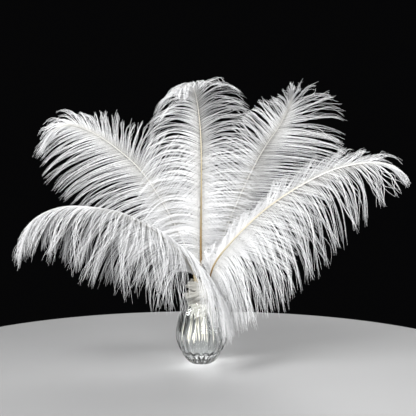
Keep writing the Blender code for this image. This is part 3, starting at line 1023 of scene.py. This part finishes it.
print(len(TURNS), "turns,", [round(turn.width * 1000) for turn in TURNS], "mm wide")

# %% [markdown]
# ## The ribbon's core
#
# Between the turns one would see into the bundle, so a gathered core fills the middle. It is spun like the
# vase, its sides are rippled, and its top is crumpled and tilted with the slant of the turns.

# %% Ribbon core
CORE_PROFILE = ((0, 0.0985), (0.012, 0.0975), (0.0205, 0.0972), (0.0232, 0.100), (0.0245, 0.112),
                (0.0250, 0.124), (0.0260, 0.130), (0.0280, 0.138), (0.0275, 0.148), (0.0240, 0.157),
                (0.0175, 0.1632), (0, 0.1645))
CORE_STEPS = 96
CORE_TILT = 0.2


def ribbon_core(finish):
    """The gathered ribbon in the middle, from the lowest turn up to a crumpled top."""
    shape = bmesh.new()
    verts = [shape.verts.new((r, 0, z)) for r, z in smooth_profile(CORE_PROFILE, 34)]
    verts[0].co.x = verts[-1].co.x = 0
    spun(shape, verts, CORE_STEPS)
    for vert in shape.verts:
        out = Vector((vert.co.x, vert.co.y, 0))
        angle = np.arctan2(vert.co.y, vert.co.x)
        ripple = 0.0007 * sin(17 * angle + 60 * vert.co.z) + 0.0005 * sin(29 * angle - 90 * vert.co.z)
        vert.co += out.normalized() * ripple * ease(out.length, 0.003, 0.02)
        crumple = 0.0012 * sin(11 * angle) * ease(out.length, 0.003, 0.015)
        vert.co.z += crumple + CORE_TILT * vert.co.x * ease(vert.co.z, 0.128, FREE_ABOVE)
    bmesh.ops.recalc_face_normals(shape, faces=shape.faces)
    return piece_from_shape("ribbon_core", shape, finish)


print("core", round(2000 * max(r for r, _ in CORE_PROFILE)), "mm across")

# %% [markdown]
# ## The ribbon's finish, and the ribbon
#
# It is a plain woven ribbon, off-white, with the soft shine of thin cloth. Its weave is a very fine banded
# wave as a bump, and a little mottle keeps the white from being flat.

# %% Ribbon finish and ribbon
RIBBON_LIGHT, RIBBON_SHADE = (0.58, 0.57, 0.53, 1), (0.40, 0.39, 0.35, 1)
WEAVE_SCALE = 700
FIRST_TURN_SEED = 40


def ribbon_finish():
    made, shader, nodes, links = new_material("white_ribbon", 0.42, Sheen_Weight=0.2, Sheen_Roughness=0.35)
    mottle = place_group(nodes, FINE_MOTTLE, Scale=55.0)
    tone = mix_colours(nodes, links, mottle.outputs["Mask"], RIBBON_LIGHT, RIBBON_SHADE)
    links.new(tone, shader.inputs["Base Color"])
    place = nodes.new("ShaderNodeTexCoord")
    weave = nodes.new("ShaderNodeTexWave")
    weave.bands_direction = "Z"
    weave.inputs["Scale"].default_value = WEAVE_SCALE
    weave.inputs["Distortion"].default_value = 0.6
    links.new(place.outputs["Object"], weave.inputs["Vector"])
    bump_from(nodes, links, weave.outputs["Fac"], 0.25, 0.0003, shader)
    return made


WHITE_RIBBON = ribbon_finish()
ribbon_pieces = [ribbon_turn(turn, seed, WHITE_RIBBON) for seed, turn in enumerate(TURNS, FIRST_TURN_SEED)]
ribbon_pieces.append(ribbon_core(WHITE_RIBBON))
for piece in ribbon_pieces:
    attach(piece, "root")
    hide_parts("ribbon")
print(len(ribbon_pieces), "ribbon pieces")

# %% [markdown]
# ## Floor
#
# White feathers need something darker behind them to be seen at all, so the vase stands on a plain pale
# round table with a dim room behind it. The table is matt, with the faintest mottle.

# %% Floor
FLOOR_RADIUS = 0.62
FLOOR_SIDES = 128
FLOOR_LIGHT, FLOOR_SHADE = (0.30, 0.30, 0.30, 1), (0.28, 0.28, 0.285, 1)


def floor_finish():
    made, shader, nodes, links = new_material("pale_floor", 0.6)
    mottle = place_group(nodes, FINE_MOTTLE, Scale=3.0)
    tone = mix_colours(nodes, links, mottle.outputs["Mask"], FLOOR_LIGHT, FLOOR_SHADE)
    links.new(tone, shader.inputs["Base Color"])
    return made


def floor_piece():
    shape = bmesh.new()
    bmesh.ops.create_circle(shape, cap_ends=True, segments=FLOOR_SIDES, radius=FLOOR_RADIUS)
    return piece_from_shape("floor", shape, floor_finish())


floor_piece()
print("floor", 2 * FLOOR_RADIUS, "m across")

# %% [markdown]
# ## Light
#
# Soft light comes from a large panel above and to the left, a second at the right, and a third behind that
# draws a bright edge on feathers and glass. The third isn't seen through the glass, where it would show as
# a white patch. The room itself is almost black, and colours are shown as they are, without a film curve.

# %% Light
MIDDLE = Vector((0, 0, 0.30))
ROOM = (0.002, 0.002, 0.0022, 1)


def panel(name, place, size, power):
    """A square soft light at a place, turned to face the middle of the bunch."""
    light = bpy.data.lights.new(name, "AREA")
    light.shape = "SQUARE"
    light.size = size
    light.energy = power
    made = bpy.data.objects.new(name, light)
    made.location = place
    made.rotation_euler = (MIDDLE - Vector(place)).to_track_quat("-Z", "Y").to_euler()
    bpy.context.collection.objects.link(made)
    return made


panel("key", (-1.2, -1.5, 1.8), 0.9, 98)
panel("fill", (1.7, -1.5, 0.7), 1.2, 56)
panel("back", (0.6, 1.8, 1.6), 1.0, 32).visible_transmission = False
world = bpy.data.worlds.new("studio")
world.use_nodes = True
world.node_tree.nodes["Background"].inputs["Color"].default_value = ROOM
world.node_tree.nodes["Background"].inputs["Strength"].default_value = 1.0
bpy.context.scene.world = world
bpy.context.scene.view_settings.view_transform = "Standard"
print("lights:", ", ".join(sorted(light.name for light in bpy.data.lights)))
